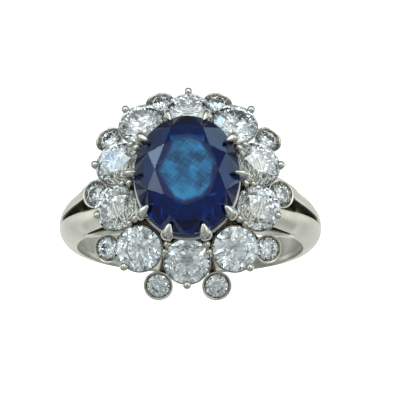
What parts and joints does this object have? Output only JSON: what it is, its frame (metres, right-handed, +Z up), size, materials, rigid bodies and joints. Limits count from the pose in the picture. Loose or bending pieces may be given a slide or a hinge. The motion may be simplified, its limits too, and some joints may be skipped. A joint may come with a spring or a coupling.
{
  "type": "sapphire and diamond cluster ring",
  "caption": "Cluster ring: an oval sapphire in claws, a circle of round diamonds around it, small bezel-set diamonds below them and a split shank.",
  "frame": {"origin": "middle of the bottom of the whole ring's box, on the surface that it lies on", "axes": "+Z up from that surface; the head faces -Y and leans up, the back of the shank is towards +Y, X runs across the finger"},
  "size_m": [0.0202, 0.0254, 0.0158],
  "materials": {
    "white_gold": "polished white gold, softly worn",
    "sapphire": "faceted, deep blue",
    "diamond": "faceted, colourless"
  },
  "bodies": {
    "root": {"mount": "white_gold", "sapphire": "sapphire", "diamond_01": "diamond", "diamond_02": "diamond", "diamond_03": "diamond", "diamond_04": "diamond", "diamond_05": "diamond", "diamond_06": "diamond", "diamond_07": "diamond", "diamond_08": "diamond", "diamond_09": "diamond", "diamond_10": "diamond", "small_diamond_01": "diamond", "small_diamond_02": "diamond", "small_diamond_03": "diamond", "small_diamond_04": "diamond", "small_diamond_05": "diamond", "small_diamond_06": "diamond", "small_diamond_07": "diamond", "small_diamond_08": "diamond", "small_diamond_09": "diamond", "small_diamond_10": "diamond"}
  },
  "joints": []
}
